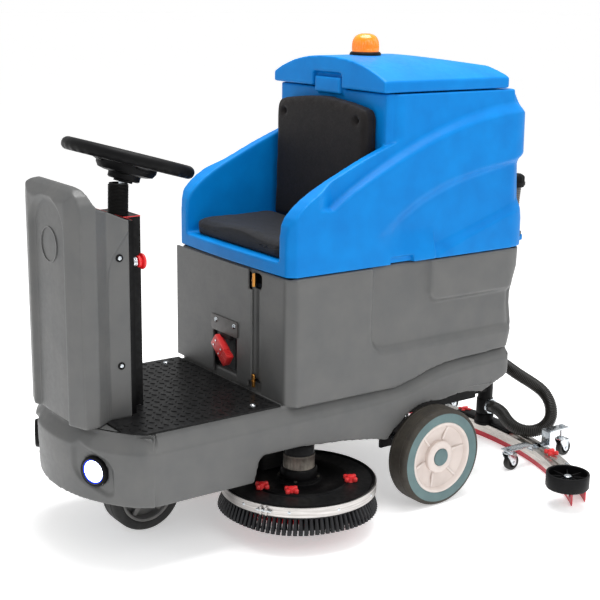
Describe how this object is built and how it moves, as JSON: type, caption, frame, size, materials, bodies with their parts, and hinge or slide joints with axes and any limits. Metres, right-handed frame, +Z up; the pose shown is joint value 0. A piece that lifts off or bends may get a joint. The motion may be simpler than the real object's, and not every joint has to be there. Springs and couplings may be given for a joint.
{
  "type": "ride-on floor scrubber",
  "caption": "Ride-on floor scrubber: blue recovery tank with seat over a gray base, steering cowl and wheel, twin disc brush deck, curved rear squeegee with suction hose.",
  "frame": {"origin": "on the floor under the middle of the machine's box", "axes": "+Z up, -Y towards the front of the machine, +X to the driver's left"},
  "size_m": [1.222, 1.636, 1.292],
  "materials": {
    "gray_moulding": "satin textured polyethylene",
    "blue_moulding": "satin polyethylene",
    "black_steel": "satin black paint",
    "stainless": "brushed",
    "zinc": "bright zinc plate",
    "aluminium_band": "polished",
    "brass": "worn",
    "black_plastic": "satin",
    "red_plastic": "gloss",
    "red_rubber": "matt",
    "black_rubber": "matt",
    "hose_plastic": "satin ribbed",
    "tyre_rubber": "matt, with a blue-gray sidewall",
    "front_tyre_rubber": "matt",
    "hub_plastic": "satin off-white",
    "rim_gray": "satin",
    "seat_foam": "matt grained vinyl",
    "bristle": "black nylon bristle with red tufts",
    "lamp_glass": "clear, lit white",
    "amber": "translucent orange",
    "battery_case": "satin",
    "drain_gray": "satin"
  },
  "bodies": {
    "chassis": {"base_shell": "gray_moulding", "main_frame": "black_steel", "rear_axle": "zinc", "footplate": "black_steel", "headlight_bezels": "black_plastic", "headlight_lenses": "lamp_glass", "solution_tank": "gray_moulding", "batteries": "battery_case", "front_cowl": "gray_moulding", "cover_fixings": "brass", "steering_column": "black_steel", "bellows": "black_rubber", "hose_elbow": "black_plastic"},
    "recovery_tank": {"recovery_tank": "blue_moulding", "seat_shell": "blue_moulding", "seat_cushion": "seat_foam", "backrest": "seat_foam", "backrest_screws": "black_steel", "vacuum_motor": "black_plastic", "drain_hose": "drain_gray"},
    "tank_lid": {"tank_lid": "blue_moulding", "beacon_base": "black_rubber", "beacon_dome": "amber"},
    "battery_door": {"battery_door": "gray_moulding", "connector_plate": "black_plastic", "battery_connector": "red_plastic"},
    "steering_wheel": {"steering_wheel": "black_plastic", "steering_shaft": "zinc"},
    "drive_unit": {"drive_fork": "black_steel", "drive_motor": "black_steel"},
    "front_wheel": {"front_tyre": "front_tyre_rubber", "front_rim": "rim_gray"},
    "left_wheel": {"left_tyre": "tyre_rubber", "left_hub": "hub_plastic"},
    "right_wheel": {"right_tyre": "tyre_rubber", "right_hub": "hub_plastic"},
    "brush_deck": {"brush_deck": "black_steel", "deck_bands": "aluminium_band", "brush_motors": "black_steel", "deck_knobs": "red_plastic"},
    "left_brush": {"left_brush": "bristle"},
    "right_brush": {"right_brush": "bristle"},
    "lift_arm": {"lift_arm": "black_steel", "suction_nozzle": "black_plastic", "suction_hose": "hose_plastic"},
    "squeegee": {"squeegee_bar": "stainless", "squeegee_blades": "red_rubber", "squeegee_knobs": "red_plastic"},
    "left_bumper_roller": {"left_bumper_roller": "black_plastic"},
    "right_bumper_roller": {"right_bumper_roller": "black_plastic"},
    "estop_button": {"estop_button": "red_plastic"},
    "drive_pedal": {"drive_pedal": "black_steel"},
    "left_front_swivel": {"left_front_swivel": "zinc"},
    "left_front_caster": {"left_front_caster": "black_rubber"},
    "left_rear_swivel": {"left_rear_swivel": "zinc"},
    "left_rear_caster": {"left_rear_caster": "black_rubber"},
    "right_front_swivel": {"right_front_swivel": "zinc"},
    "right_front_caster": {"right_front_caster": "black_rubber"},
    "right_rear_swivel": {"right_rear_swivel": "zinc"},
    "right_rear_caster": {"right_rear_caster": "black_rubber"}
  },
  "joints": [
    {"name": "tank_tilt", "type": "hinge", "parent": "chassis", "child": "recovery_tank", "pos_m": [-0.288, 0.107, 0.698], "axis": [0, -1, 0], "range_deg": [0, 55]},
    {"name": "lid_hinge", "type": "hinge", "parent": "recovery_tank", "child": "tank_lid", "pos_m": [0, 0.488, 1.154], "axis": [-1, 0, 0], "range_deg": [0, 75]},
    {"name": "door_hinge", "type": "hinge", "parent": "chassis", "child": "battery_door", "pos_m": [0.121, -0.282, 0.53], "axis": [0, 0, 1], "range_deg": [0, 35]},
    {"name": "steering", "type": "hinge", "parent": "chassis", "child": "steering_wheel", "pos_m": [0, -0.58, 0.994], "axis": [0, 0.2756, 0.9613], "range_deg": [-120, 120]},
    {"name": "drive_steer", "type": "hinge", "parent": "chassis", "child": "drive_unit", "pos_m": [0, -0.56, 0.102], "axis": [0, 0, 1], "range_deg": [-72, 72]},
    {"name": "front_roll", "type": "hinge", "parent": "drive_unit", "child": "front_wheel", "pos_m": [0, -0.56, 0.102], "axis": [1, 0, 0], "continuous": true},
    {"name": "left_roll", "type": "hinge", "parent": "chassis", "child": "left_wheel", "pos_m": [0.305, 0.207, 0.14], "axis": [1, 0, 0], "continuous": true},
    {"name": "right_roll", "type": "hinge", "parent": "chassis", "child": "right_wheel", "pos_m": [-0.305, 0.207, 0.14], "axis": [1, 0, 0], "continuous": true},
    {"name": "deck_lift", "type": "slide", "parent": "chassis", "child": "brush_deck", "axis": [0, 0, -1], "range_m": [0, 0.056]},
    {"name": "left_brush_spin", "type": "hinge", "parent": "brush_deck", "child": "left_brush", "pos_m": [0.22, -0.2, 0.11], "axis": [0, 0, 1], "continuous": true},
    {"name": "right_brush_spin", "type": "hinge", "parent": "brush_deck", "child": "right_brush", "pos_m": [-0.22, -0.2, 0.11], "axis": [0, 0, 1], "continuous": true},
    {"name": "squeegee_lift", "type": "hinge", "parent": "chassis", "child": "lift_arm", "pos_m": [0, 0.445, 0.172], "axis": [1, 0, 0], "range_deg": [0, 12], "deforming": ["suction_hose"]},
    {"name": "squeegee_swing", "type": "hinge", "parent": "lift_arm", "child": "squeegee", "pos_m": [0, 0.697, 0.06], "axis": [0, 0, 1], "range_deg": [-8, 8]},
    {"name": "left_roller_spin", "type": "hinge", "parent": "squeegee", "child": "left_bumper_roller", "pos_m": [0.55, 0.493, 0.08], "axis": [0, 0, 1], "continuous": true},
    {"name": "right_roller_spin", "type": "hinge", "parent": "squeegee", "child": "right_bumper_roller", "pos_m": [-0.55, 0.493, 0.08], "axis": [0, 0, 1], "continuous": true},
    {"name": "estop_press", "type": "slide", "parent": "chassis", "child": "estop_button", "axis": [0, -1, 0], "range_m": [0, 0.005], "stiffness_N_per_m": 1500, "springref_m": -0.002},
    {"name": "pedal_press", "type": "hinge", "parent": "chassis", "child": "drive_pedal", "pos_m": [-0.15, -0.523, 0.3735], "axis": [1, 0, 0], "range_deg": [0, 15], "stiffness_Nm_per_rad": 8, "springref_deg": -17.19},
    {"name": "left_front_turn", "type": "hinge", "parent": "squeegee", "child": "left_front_swivel", "pos_m": [0.258, 0.554, 0.054], "axis": [0, 0, 1], "continuous": true},
    {"name": "left_front_roll", "type": "hinge", "parent": "left_front_swivel", "child": "left_front_caster", "pos_m": [0.258, 0.566, 0.025], "axis": [1, 0, 0], "continuous": true},
    {"name": "left_rear_turn", "type": "hinge", "parent": "squeegee", "child": "left_rear_swivel", "pos_m": [0.258, 0.781, 0.054], "axis": [0, 0, 1], "continuous": true},
    {"name": "left_rear_roll", "type": "hinge", "parent": "left_rear_swivel", "child": "left_rear_caster", "pos_m": [0.258, 0.793, 0.025], "axis": [1, 0, 0], "continuous": true},
    {"name": "right_front_turn", "type": "hinge", "parent": "squeegee", "child": "right_front_swivel", "pos_m": [-0.258, 0.554, 0.054], "axis": [0, 0, 1], "continuous": true},
    {"name": "right_front_roll", "type": "hinge", "parent": "right_front_swivel", "child": "right_front_caster", "pos_m": [-0.258, 0.566, 0.025], "axis": [1, 0, 0], "continuous": true},
    {"name": "right_rear_turn", "type": "hinge", "parent": "squeegee", "child": "right_rear_swivel", "pos_m": [-0.258, 0.781, 0.054], "axis": [0, 0, 1], "continuous": true},
    {"name": "right_rear_roll", "type": "hinge", "parent": "right_rear_swivel", "child": "right_rear_caster", "pos_m": [-0.258, 0.793, 0.025], "axis": [1, 0, 0], "continuous": true}
  ],
  "couplings": [
    {"joint": "drive_steer", "follows": "steering", "ratio": 0.6}
  ]
}
